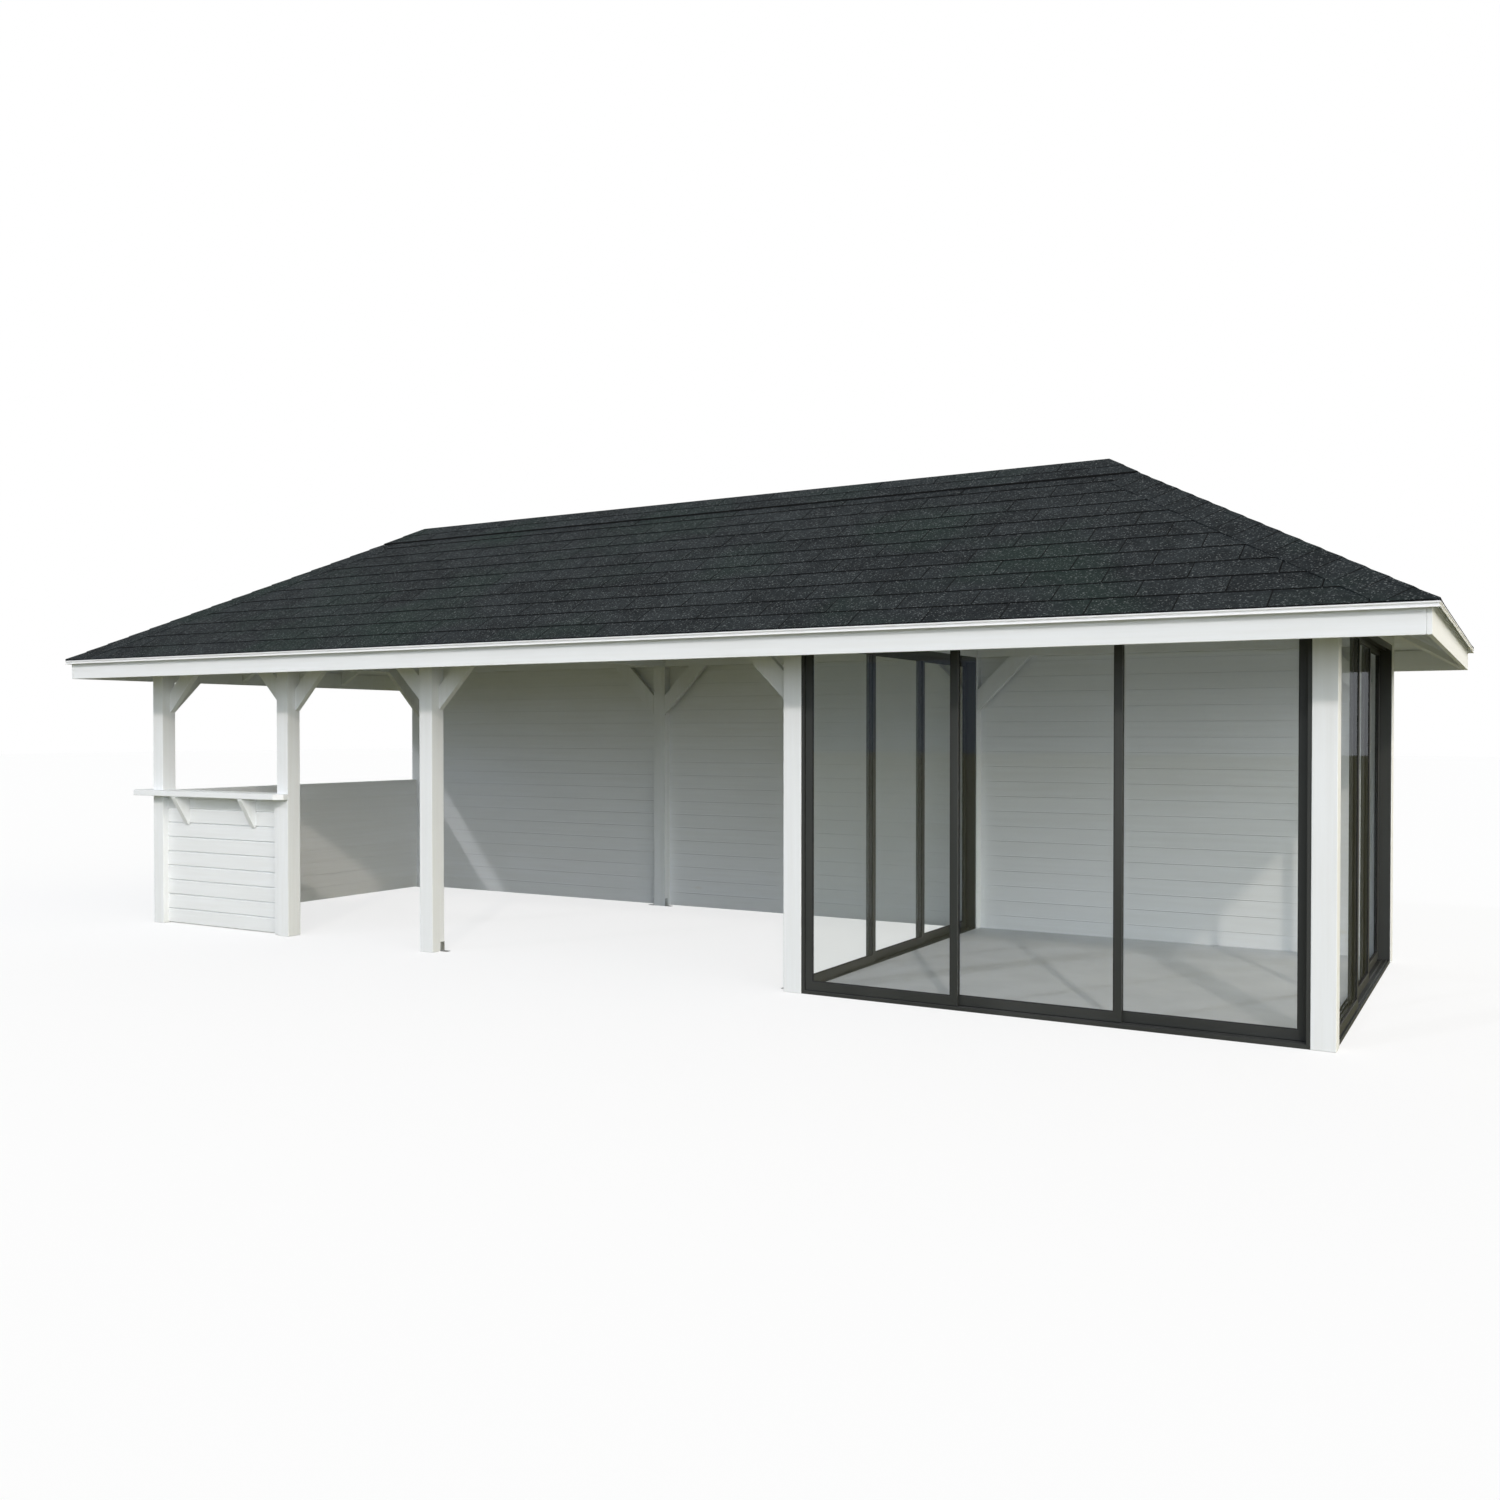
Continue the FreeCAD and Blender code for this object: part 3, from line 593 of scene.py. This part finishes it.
@dataclass
class BoardedWalls:
    """Horizontal boards with a deep groove outside and a fine joint inside."""

    finishes: Finishes
    board: float = 0.118
    thick: float = 0.020
    chamfer: float = 0.007
    ease: float = 0.0015
    slot: Pair = (0.0050, 0.013)
    joint: Pair = (0.0016, 0.005)
    clearance: float = 0.004
    rail: float = 0.027
    rail_ease: float = 0.003
    batten: float = 0.040
    batten_ease: float = 0.002
    batten_tone: float = 0.3

    def section(self, outer: float, way: float, low: float, high: float) -> list[Pair]:
        """Section of one board: (out, z) points.

        Args:
            outer: Place of its outer face.
            way: 1 or -1, towards its inner face.
            low: Foot of the board.
            high: Top of the board.

        Returns:
            The outline, from the foot of the outer face round to that of the inner one.
        """
        inner = outer + way * self.thick

        def face(out: float, inward: float, cut: float, gap: Pair) -> list[Pair]:
            half, floor = gap[0] / 2, out + inward * gap[1]
            return [(floor, low), (floor, low + half), (out + inward * cut, low + half), (out, low + cut),
                    (out, high - cut), (out + inward * cut, high - half), (floor, high - half), (floor, high)]

        return face(outer, way, self.chamfer, self.slot) + face(inner, -way, self.ease, self.joint)[::-1]

    def boards(self, draft: Draft, along: Axis, span: Pair, outer: float, way: float,
               top: float, seed: int) -> None:
        """Add the boards of one wall.

        Args:
            draft: Mesh that takes them.
            along: Axis that the wall runs along, X or Y.
            span: Its two ends.
            outer: Place of the outer face.
            way: 1 or -1, towards the inner face.
            top: Top of the highest board.
            seed: Seed of the boards' tones.
        """
        draw = random.Random(seed)
        low = self.clearance
        while low < top - self.chamfer:
            high = top if low + self.board > top - self.chamfer else low + self.board
            outline = self.section(outer, way, low, high)
            ends = [[(end, out, z) if along is Axis.X else (out, end, z) for out, z in outline] for end in span]
            draft.sweep(ends[0], ends[1], draw.random())
            low = high

    def back(self) -> None:
        """Boards between the back posts."""
        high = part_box("back_wall")[1]
        draft = Draft()
        posts = [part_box(f"back_post_{i}") for i in range(1, 5)]
        for index, (left, right) in enumerate(zip(posts, posts[1:])):
            self.boards(draft, Axis.X, (left[1].x, right[0].x), high.y, -1, high.z, SEED + index)
        piece = draft.build("back_wall_boards", self.finishes.timber[Axis.X], Slot.TIMBER)
        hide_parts("back_wall")

    def left(self) -> None:
        """Boards and rail of the left end."""
        low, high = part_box("left_half_wall")
        draft = Draft()
        outer = high.x - self.thick
        top = high.z - self.rail
        self.boards(draft, Axis.Y, (low.y, high.y), outer, 1, top, SEED + 5)
        piece = draft.build("left_half_wall_boards", self.finishes.timber[Axis.Y], Slot.TIMBER)
        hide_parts("left_half_wall")
        rail = Draft()
        rail.block((low.x, low.y, top), (high.x, high.y, high.z))
        rail.build("left_half_wall_rail", self.finishes.timber[Axis.Y], Slot.TIMBER,
                   bevel=self.rail_ease)

    def bar(self) -> None:
        """Boards under the bar shelf."""
        low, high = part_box("bar_wall")
        draft = Draft()
        face = high.y - self.thick
        self.boards(draft, Axis.X, (low.x, high.x), face, 1, high.z, SEED + 9)
        piece = draft.build("bar_wall_boards", self.finishes.timber[Axis.X], Slot.TIMBER)
        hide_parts("bar_wall")
        batten = Draft()
        batten.block((high.x - self.batten, low.y, low.z), (high.x, face, high.z), self.batten_tone)
        batten.build("bar_wall_batten", self.finishes.timber[Axis.Z], Slot.TIMBER, bevel=self.batten_ease)

    def make(self) -> None:
        """Build the three walls."""
        self.back()
        self.left()
        self.bar()


@dataclass(frozen=True)
class RoofSide:
    """One slope, worked out with its eave along a local X axis and then turned to its side."""

    half: float
    turn: float
    shift: Vector
    eave_top: float
    run: float

    def turned(self, along: float, inward: float, height: float) -> Vector:
        """Point given along the eave, in from it and up, turned to its side of the roof."""
        return Matrix.Rotation(self.turn, 3, "Z") @ Vector((along, inward, height)) + self.shift

    def point(self, along: float, inward: float, depth: float) -> Vector:
        """Place on the slope.

        Args:
            along: Distance along the eave from its middle.
            inward: Plan distance in from the eave.
            depth: Depth under the top of the covering at its butts, square to the slope.

        Returns:
            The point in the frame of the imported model.
        """
        return self.turned(along, inward, self.eave_top + inward * math.tan(PITCH) - depth / math.cos(PITCH))

    def reach(self, inward: float, gap: float = 0.0) -> float:
        """Half the length of the slope at a plan distance in from the eave, less a gap at the hip."""
        return self.half - inward - gap

    def clip(self, corners: Sequence[Pair], gap: float = 0.0) -> list[Pair]:
        """Cut a piece of the slope's plan to the hips.

        Args:
            corners: Outline of (along, inward) points.
            gap: Distance kept along the eave to each hip.

        Returns:
            What is left of the outline.
        """
        outline = list(corners)
        for side in (-1, 1):
            kept = []
            for (x0, y0), (x1, y1) in zip(outline, outline[1:] + outline[:1]):
                a = self.reach(y0, gap) - side * x0
                b = self.reach(y1, gap) - side * x1
                if a >= 0:
                    kept.append((x0, y0))
                if (a < 0) != (b < 0):
                    share = a / (a - b)
                    kept.append((x0 + (x1 - x0) * share, y0 + (y1 - y0) * share))
            outline = kept
            if len(outline) < 3:
                return []
        return outline

    def band(self, near: float, far: float, gap: float = 0.0) -> list[Pair]:
        """Whole width of the slope between two plan distances in from the eave."""
        return self.clip([(-self.half, near), (self.half, near), (self.half, far), (-self.half, far)], gap)


@dataclass
class HippedRoof:
    """Roof boards, shingle tabs, ridge and hip capping and the rolled metal edge."""

    finishes: Finishes
    shingle: float = 0.007
    shingle_thin: float = 0.0025
    tab_sheet: float = 0.0045
    course: float = 0.1955
    tab: float = 0.436
    slit: float = 0.007
    lap: float = 0.012
    deck: float = 0.019
    edge_set_back: float = 0.003
    deck_board: float = 0.118
    deck_chamfer: float = 0.004
    mitre: float = 0.0005
    under_gap: float = 0.004
    under_depth: float = 0.0016
    under_sheet: float = 0.0015
    stagger: float = 0.21
    skew: float = 0.0012
    drop: Pair = (-0.0008, 0.0004)
    tail_sink: float = 0.0004
    ridge_cap_rows: tuple[float, ...] = (0.0, 0.130)
    cap_tab: float = 0.430
    cap_offset: float = 0.13
    cap_step: float = 0.0030
    cap_share: float = 0.8
    cap_body: float = 0.0052
    cap_body_gap: float = 0.002
    cap_body_tone: float = 0.1
    hip_pitch: float = 0.159
    hip_width: float = 0.185
    hip_taper: float = 0.6
    hip_rises: Pair = (0.0060, 0.0020)
    hip_sink: float = 0.0016
    hip_follow: float = 0.3
    hip_slit: Pair = (0.028, 0.032)
    hip_start: float = 0.0005
    hip_least: float = 0.02
    sides: list[RoofSide] = field(default_factory=list)

    def __post_init__(self) -> None:
        """Work out the front, back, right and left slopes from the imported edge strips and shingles."""
        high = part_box("eave_edge_strips")[1]
        x, y = high.x, high.y
        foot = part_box("shingle_courses")[0].z
        top = foot - self.edge_set_back * math.tan(PITCH) + self.shingle / math.cos(PITCH)
        turns = ((x, 0.0, (0, -y, 0)), (x, math.pi, (0, y, 0)),
                 (y, math.pi / 2, (x, 0, 0)), (y, -math.pi / 2, (-x, 0, 0)))
        self.sides = [RoofSide(half, turn, Vector(shift), top, y) for half, turn, shift in turns]

    def deck_boards(self) -> None:
        """Boards across the rafters, bevelled on the side that shows from below."""
        draft = Draft()
        draw = random.Random(SEED + 20)
        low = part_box("roof_deck")[0]
        start = self.sides[0].run + low.y
        step = self.deck_board * math.cos(PITCH)
        top, foot, cut = self.shingle, self.shingle + self.deck, self.deck_chamfer
        for side in self.sides:
            near = start
            while near < side.run - cut:
                far = min(near + step, side.run - self.mitre)
                outline = [(near, top), (far, top), (far, foot - cut), (far - cut, foot), (near + cut, foot),
                           (near, foot - cut)]
                ends = [[side.point(sign * side.reach(min(inward, side.run), self.mitre * 2), inward, depth)
                         for inward, depth in outline] for sign in (-1, 1)]
                draft.sweep(ends[0], ends[1], draw.random())
                near += step
        piece = draft.build("roof_boards", self.finishes.timber[Axis.X], Slot.TIMBER)
        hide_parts("roof_deck")

    def tab_solid(self, draft: Draft, side: RoofSide, outline: list[Pair], near: float,
                  far: float, depths: Pair, sheet: float, tone: float) -> None:
        """Add a thin slab that rises or falls evenly up the slope.

        Args:
            draft: Mesh that takes it.
            side: Slope that it lies on.
            outline: Its (along, inward) corners.
            near: Where its lower depth is measured.
            far: Where its upper depth is measured.
            depths: Depth of its top there and there.
            sheet: Its thickness.
            tone: Its tone.
        """
        def depth(inward: float) -> float:
            return depths[0] + (depths[1] - depths[0]) * (inward - near) / (far - near)

        tops = [side.point(x, y, depth(y)) for x, y in outline]
        feet = [side.point(x, y, depth(y) + sheet) for x, y in outline]
        draft.sweep(feet, tops, tone, [CUT_EDGE_AND_SLIT_SHADE] * len(outline))

    def shingle_tabs(self) -> None:
        """Staggered tabs of every course, over an under-layer painted dark as the shade in the slits."""
        draft = Draft()
        draw = random.Random(SEED + 30)
        step = self.course * math.cos(PITCH)
        fall = self.shingle - self.shingle_thin
        for side in self.sides:
            edge = side.run - self.mitre
            under = side.band(self.edge_set_back + self.under_gap, edge, self.mitre * 2)
            # The under-layer takes the dark cut-edge colour as painted shade in the slits between tabs.
            self.tab_solid(draft, side, under, 0.0, 1.0, (self.shingle - self.under_depth,) * 2,
                           self.under_sheet, CUT_EDGE_AND_SLIT_SHADE)
            for row in range(math.ceil(side.run / step)):
                near = max(row * step, self.edge_set_back)
                far = min((row + 1) * step + self.lap, edge)
                offset = (row % 2) * self.tab / 2 + self.tab * self.stagger
                left = -side.half - self.tab + offset
                while left < side.half:
                    skew = draw.uniform(-self.skew, self.skew)
                    drop = draw.uniform(*self.drop)
                    tone = draw.random()
                    x0, x1 = left + self.slit / 2, left + self.tab - self.slit / 2
                    outline = side.clip([(x0, near + skew if row else near), (x1, near - skew if row else near),
                                         (x1, far), (x0, far)], self.mitre * 2)
                    if outline:
                        self.tab_solid(draft, side, outline, near, near + step,
                                       (drop, fall + self.tail_sink), self.tab_sheet, tone)
                    left += self.tab
        piece = draft.build("shingle_tabs", self.finishes.shingle, Slot.SHINGLE)
        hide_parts("shingle_courses")

    def ridge_capping(self) -> None:
        """Two rows of folded shingle on each side of the ridge, run round its ends."""
        draft = Draft()
        draw = random.Random(SEED + 50)
        run = self.sides[0].run
        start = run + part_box("ridge_cap")[0].y
        lift = (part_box("ridge_cap")[1].z - self.sides[0].point(0, run, 0).z) * math.cos(PITCH)
        rows = [start + row * math.cos(PITCH) for row in self.ridge_cap_rows] + [run]
        for side in self.sides:
            for index, (near, far) in enumerate(zip(rows, rows[1:])):
                left = -side.half - self.cap_tab * (0.5 if index else 0.0) + self.cap_offset
                while left < side.half:
                    x0, x1 = left + self.slit / 2, left + self.cap_tab - self.slit / 2
                    upper = -lift + self.cap_step * (1 - index)
                    outline = side.clip([(x0, near), (x1, near), (x1, far), (x0, far)])
                    if outline:
                        self.tab_solid(draft, side, outline, near, far, (upper, upper),
                                       lift * self.cap_share, draw.random())
                    left += self.cap_tab
            body = side.band(start + self.cap_body_gap, run)
            self.tab_solid(draft, side, body, start, run, (-lift + self.cap_body,) * 2,
                           lift - self.cap_body, self.cap_body_tone)
        piece = draft.build("ridge_capping", self.finishes.shingle, Slot.SHINGLE)
        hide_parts("ridge_cap")

    def hip_capping(self) -> None:
        """Short shingles folded over each hip, lapping up the slope."""
        draft = Draft()
        draw = random.Random(SEED + 60)
        end = (self.sides[0].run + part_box("ridge_cap")[0].y) * ROOT
        whole = [(0.0, self.hip_width)]
        split = [(0.0, self.hip_slit[0]), (self.hip_slit[1], self.hip_width)]
        for side in self.sides:
            for hip in (-1, 1):
                near, index = (self.edge_set_back + self.hip_start) * ROOT, 0
                while near < end - self.hip_least:
                    tone = draw.random()
                    for band in split if index % 2 else whole:
                        self.hip_leaf(draft, side, hip, (near, min(near + self.hip_pitch, end)), band, tone)
                    near += self.hip_pitch
                    index += 1
        piece = draft.build("hip_capping", self.finishes.shingle, Slot.SHINGLE)
        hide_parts("hip_caps")

    def hip_leaf(self, draft: Draft, side: RoofSide, hip: int, run: Pair, band: Pair, tone: float) -> None:
        """Add one leaf of a hip shingle.

        Args:
            draft: Mesh that takes it.
            side: Slope that it lies on.
            hip: Which end of the slope, -1 or 1.
            run: Its two ends, as plan distances up the hip.
            band: Plan distances from the hip to its two edges.
            tone: Its tone.
        """
        def place(up: float, out: float) -> Pair:
            return hip * (side.half - (up + out) / ROOT), (up - out) / ROOT

        def hipwise(x: float, y: float) -> Pair:
            return ((side.half - hip * x) + y) / ROOT, ((side.half - hip * x) - y) / ROOT

        corners = [(run[0], band[0]), (run[0], band[1]), (run[1], band[1]), (run[1], band[0])]
        outline, edge = [], self.edge_set_back
        flat = [place(*corner) for corner in corners]
        for (x0, y0), (x1, y1) in zip(flat, flat[1:] + flat[:1]):
            if y0 >= edge:
                outline.append((x0, y0))
            if (y0 < edge) != (y1 < edge):
                share = (edge - y0) / (y1 - y0)
                outline.append((x0 + (x1 - x0) * share, edge))
        if len(outline) < 3:
            return

        def rise(x: float, y: float) -> float:
            up, out = hipwise(x, y)
            butt, tail = self.hip_rises
            share = (up - run[0]) / self.hip_pitch
            return (butt + (tail - butt) * share) * (1 - self.hip_taper * out / self.hip_width)

        tops = [side.point(x, y, -rise(x, y)) for x, y in outline]
        feet = [side.point(x, y, self.hip_sink - rise(x, y) * self.hip_follow) for x, y in outline]
        ups = [hipwise(*corner)[0] for corner in outline]
        butts = [max(a, b) < run[0] + 0.001 for a, b in zip(ups, ups[1:] + ups[:1])]
        draft.sweep(feet, tops, tone, [CUT_EDGE_AND_SLIT_SHADE if butt else tone for butt in butts])

    def metal_edge(self) -> None:
        """Rolled metal strip along each eave: a bead over a step and a turned-out foot."""
        draft = Draft()
        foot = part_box("eave_edge_strips")[0].z
        nose = self.sides[0].point(0, 0, self.shingle).z
        back = self.sides[0].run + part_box("roof_deck")[0].y
        lift = math.tan(PITCH)
        profile = [(back, nose + back * lift), (0.009, nose + 0.009 * lift), (0.0045, nose + 0.0022),
                   (0.0015, nose + 0.0008), (0.0, nose - 0.0025), (0.0012, nose - 0.0060),
                   (0.0045, nose - 0.0080), (0.0075, nose - 0.0085), (0.0075, foot + 0.0080),
                   (0.0050, foot + 0.0050), (0.0005, foot + 0.0020), (0.0010, foot),
                   (0.0062, foot + 0.0030), (0.0095, foot + 0.0075), (0.0095, nose - 0.0080),
                   (0.0110, nose - 0.0020), (back, nose + back * lift - 0.0020)]
        for side in self.sides:
            ends = [[side.turned(sign * side.reach(inward, self.mitre), inward, z) for inward, z in profile]
                    for sign in (-1, 1)]
            draft.sweep(ends[0], ends[1])
        piece = draft.build("eave_metal_edge", self.finishes.edge, Slot.EDGE)
        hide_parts("eave_edge_strips")

    def make(self) -> None:
        """Build the roof's pieces."""
        self.deck_boards()
        self.shingle_tabs()
        self.ridge_capping()
        self.hip_capping()
        self.metal_edge()


@dataclass
class SlidingGlass:
    """Tracks, leaves and panes of the glass walls, with their gaskets and brush seals."""

    finishes: Finishes
    walls: tuple[str, ...] = ("front", "right", "partition")
    leaves: int = 3
    leaf_thick: float = 0.018
    stile: float = 0.042
    top_rail: float = 0.042
    bottom_rail: float = 0.052
    gasket: float = 0.005
    gasket_sunk: float = 0.002
    pile: float = 0.0044
    pile_width: float = 0.006
    interlock: float = 0.010
    overlap: float = 0.050
    ease: float = 0.0012
    brush_root: float = 0.0005
    brush_foot: float = 0.004
    brush_head: float = 0.025

    def upright(self, wall: str, corner: Sequence[float]) -> Vector:
        """Change a corner between (X, Y, Z) and (along the wall, across it, up), which is its own inverse.

        Args:
            wall: Name of the wall.
            corner: The corner.

        Returns:
            The corner in the other order.
        """
        x, y, z = corner
        return Vector((x, y, z)) if wall == "front" else Vector((y, x, z))

    def add(self, draft: Draft, wall: str, low: Point, high: Point) -> None:
        """Add a block between two corners given along, across and up a wall."""
        draft.block(tuple(self.upright(wall, low)), tuple(self.upright(wall, high)))

    def gaskets(self, wall: str, index: int) -> None:
        """Rubber gaskets round a pane, inside and outside.

        Args:
            wall: Name of the wall.
            index: Number of the leaf, from 1.
        """
        low, high = (self.upright(wall, corner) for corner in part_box(f"{wall}_panel_{index}"))
        near, far = (self.upright(wall, corner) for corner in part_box(f"{wall}_glass_{index}"))
        middle, half = (near.y + far.y) / 2, self.leaf_thick / 2 - self.gasket_sunk
        x0, x1 = low.x + self.stile, high.x - self.stile
        z0, z1 = low.z + self.bottom_rail, high.z - self.top_rail
        draft, g = Draft(), self.gasket
        for y0, y1 in ((middle - half, near.y), (far.y, middle + half)):
            for corner, other in (((x0, y0, z0), (x1, y1, z0 + g)), ((x0, y0, z1 - g), (x1, y1, z1)),
                                  ((x0, y0, z0 + g), (x0 + g, y1, z1 - g)),
                                  ((x1 - g, y0, z0 + g), (x1, y1, z1 - g))):
                self.add(draft, wall, corner, other)
        draft.build(f"{wall}_gaskets_{index}", self.finishes.seal, Slot.ALUMINIUM, f"{wall}_leaf_{index}")

    def brush(self, wall: str, index: int) -> None:
        """Brush seal on the fin of a leaf, up to the stile of the next one.

        Args:
            wall: Name of the wall.
            index: Number of the leaf, from 1.
        """
        low, high = (self.upright(wall, corner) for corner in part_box(f"{wall}_panel_{index}"))
        x1 = high.x - self.overlap + self.stile - (self.interlock - self.pile_width) / 2
        tip, way = (high.y, 1) if wall == "front" else (low.y, -1)
        y0, y1 = sorted((tip - way * self.brush_root, tip + way * self.pile))
        draft = Draft()
        self.add(draft, wall, (x1 - self.pile_width, y0, low.z + self.brush_foot),
                 (x1, y1, high.z - self.brush_head))
        draft.build(f"{wall}_brush_{index}", self.finishes.seal, Slot.ALUMINIUM, f"{wall}_leaf_{index}")

    def make(self) -> None:
        """Dress the walls and add their seals."""
        for wall in self.walls:
            dress(f"{wall}_track_frame", self.finishes.aluminium, self.ease)
            for index in range(1, self.leaves + 1):
                dress(f"{wall}_panel_{index}", self.finishes.aluminium, self.ease)
                dress(f"{wall}_glass_{index}", self.finishes.glass)
                self.gaskets(wall, index)
                if index < self.leaves:
                    self.brush(wall, index)


@dataclass
class Fixings:
    """Post anchors, the screws in them and the floor of the glazed room."""

    finishes: Finishes
    sheet: float = 0.003
    width: float = 0.040
    screw: float = 0.0055
    head: float = 0.0022
    collar: float = 0.6
    recess: float = 0.7
    rows: tuple[float, ...] = (0.022, 0.050)

    def screws(self) -> None:
        """Two flat-headed screws in each of the upright anchor legs listed."""
        draft = Draft()
        spots = (("front_post_3", 1), ("front_post_4", -1), ("back_post_2", 1), ("back_post_2", -1),
                 ("back_post_3", -1))
        for post, side in spots:
            low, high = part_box(post)
            x = (high.x if side > 0 else low.x) + side * self.sheet
            y = high.y - self.width / 2 if post.startswith("front") else low.y + self.width / 2
            for z in self.rows:
                draft.disc((x, y, z), (side, 0, 0), self.screw, self.head * self.collar)
                draft.disc((x, y, z), (side, 0, 0), self.screw * self.recess, self.head)
        draft.build("anchor_screws", self.finishes.steel, Slot.STEEL)

    def make(self) -> None:
        """Dress the anchors and the floor, and add the screws."""
        dress("post_anchors", self.finishes.steel)
        dress("room_floor", self.finishes.concrete)
        self.screws()


@dataclass(frozen=True)
class Sun:
    """Low soft sun. A bearing of 0 is to the front and one of 90 to the right."""

    bearing: float
    height: float
    energy: float
    colour: Point


@dataclass(frozen=True)
class SkyLobe:
    """Broad bright part of the sky, with bearings as those of the suns."""

    bearing: float
    colour: Point
    height: float = 12.0

    def direction(self) -> Vector:
        """Unit vector towards its middle."""
        turn, rise = math.radians(self.bearing), math.radians(self.height)
        return Vector((math.sin(turn) * math.cos(rise), -math.cos(turn) * math.cos(rise), math.sin(rise)))


@dataclass
class Studio:
    """Camera, ground, sky and two low suns."""

    camera_place: Point = (5.328, -8.659, 1.572)
    camera_turn: float = 30.173
    camera_tilt: float = -0.755
    lens: float = 32.194
    sensor: float = 36.0
    farthest: float = 400.0
    ground_reach: float = 90.0
    ground_drop: float = 0.0005
    ground_glow: float = 0.76
    ground_seen: Colour = (0.880, 0.895, 0.920, 1.0)
    ground_bounce: Colour = (0.205, 0.205, 0.120, 1.0)
    sun_angle: float = math.radians(1.6)
    suns: tuple[Sun, ...] = (
        Sun(30.0, 29.5, 0.78, (1.0, 0.88, 0.78)),
        Sun(-29.0, 31.5, 0.56, (0.96, 0.95, 1.0)),
    )
    lobes: tuple[SkyLobe, ...] = (
        SkyLobe(45.0, (3.06, 3.27, 3.62)),
        SkyLobe(90.0, (2.18, 1.80, 1.08)),
        SkyLobe(-45.0, (0.14, 0.19, 0.27)),
        SkyLobe(-90.0, (0.35, 0.38, 0.40)),
        SkyLobe(180.0, (0.92, 0.96, 1.04)),
        SkyLobe(-135.0, (0.82, 0.85, 0.78)),
        SkyLobe(0.0, (0.25, 0.27, 0.29), 90.0),
    )
    lobe_power: float = 4.0

    def camera(self) -> None:
        """Camera at the photograph's place."""
        data = bpy.data.cameras.new("camera")
        data.sensor_width = data.sensor_height = self.sensor
        data.lens = self.lens
        data.clip_end = self.farthest
        camera = bpy.data.objects.new("camera", data)
        camera.location = self.camera_place
        camera.rotation_euler = Euler((math.radians(90 + self.camera_tilt), 0, math.radians(self.camera_turn)))
        bpy.context.scene.collection.objects.link(camera)
        bpy.context.scene.camera = camera

    def sun_lamps(self) -> None:
        """Two soft suns in front, one from the right and a weaker one from the left."""
        for number, sun in enumerate(self.suns, 1):
            data = bpy.data.lights.new(f"sun_{number}", "SUN")
            data.energy = sun.energy
            data.color = sun.colour
            data.angle = self.sun_angle
            lamp = bpy.data.objects.new(f"sun_{number}", data)
            lamp.rotation_euler = Euler((math.radians(90 - sun.height), 0, math.radians(sun.bearing)))
            bpy.context.scene.collection.objects.link(lamp)

    def ground(self) -> None:
        """Pale ground that keeps a faint shadow and throws little light back."""
        tree = NodeTree("ground")
        seen = tree.add("BsdfDiffuse", Color=self.ground_seen)
        glow = tree.add("Emission", Color=WHITE)
        view = tree.add("MixShader", Fac=self.ground_glow)
        tree.link(seen.outputs[0], view.inputs[1])
        tree.link(glow.outputs[0], view.inputs[2])
        bounce = tree.add("BsdfDiffuse", Color=self.ground_bounce)
        tree.finish(tree.shaders(tree.seen(), bounce, view))
        r = self.ground_reach
        mesh = bpy.data.meshes.new("ground")
        mesh.from_pydata([(-r, -r, 0), (r, -r, 0), (r, r, 0), (-r, r, 0)], [], [(0, 1, 2, 3)])
        mesh.materials.append(tree.owner)
        ground = bpy.data.objects.new("ground", mesh)
        ground.location.z = -self.ground_drop
        bpy.context.scene.collection.objects.link(ground)

    def sky(self) -> None:
        """White background, and the lobes of light round the pavilion."""
        tree = NodeTree("sky", world=True)
        bpy.context.scene.world = tree.owner
        place = tree.add("TexCoord").outputs["Generated"]
        total = None
        for lobe in self.lobes:
            facing = tree.add("VectorMath", operation="DOT_PRODUCT")
            tree.link(place, facing.inputs[0])
            facing.inputs[1].default_value = lobe.direction()
            part = tree.add("VectorMath", operation="SCALE")
            part.inputs[0].default_value = lobe.colour
            tree.link(tree.math("POWER", tree.math("MAXIMUM", facing.outputs["Value"], 0.0), self.lobe_power),
                      part.inputs["Scale"])
            if total is None:
                total = part.outputs[0]
            else:
                both = tree.add("VectorMath", operation="ADD")
                tree.link(total, both.inputs[0])
                tree.link(part.outputs[0], both.inputs[1])
                total = both.outputs[0]
        light, plain = tree.add("Background"), tree.add("Background", Color=WHITE)
        tree.link(total, light.inputs["Color"])
        tree.finish(tree.shaders(tree.seen(), light, plain))

    def make(self) -> None:
        """Set up the view and the light."""
        self.camera()
        self.sun_lamps()
        self.ground()
        self.sky()
        bpy.context.scene.view_settings.view_transform = "Standard"


def main() -> None:
    """Build the studio and every sub-assembly in order."""
    logging.basicConfig(level=logging.INFO, format="%(name)s %(message)s")
    Studio().make()
    finishes = Finishes()
    for assembly in (TimberFrame(finishes), BoardedWalls(finishes), HippedRoof(finishes),
                     SlidingGlass(finishes), Fixings(finishes)):
        assembly.make()
        log.info("%s done", type(assembly).__name__)


if __name__ == "__main__":
    main()
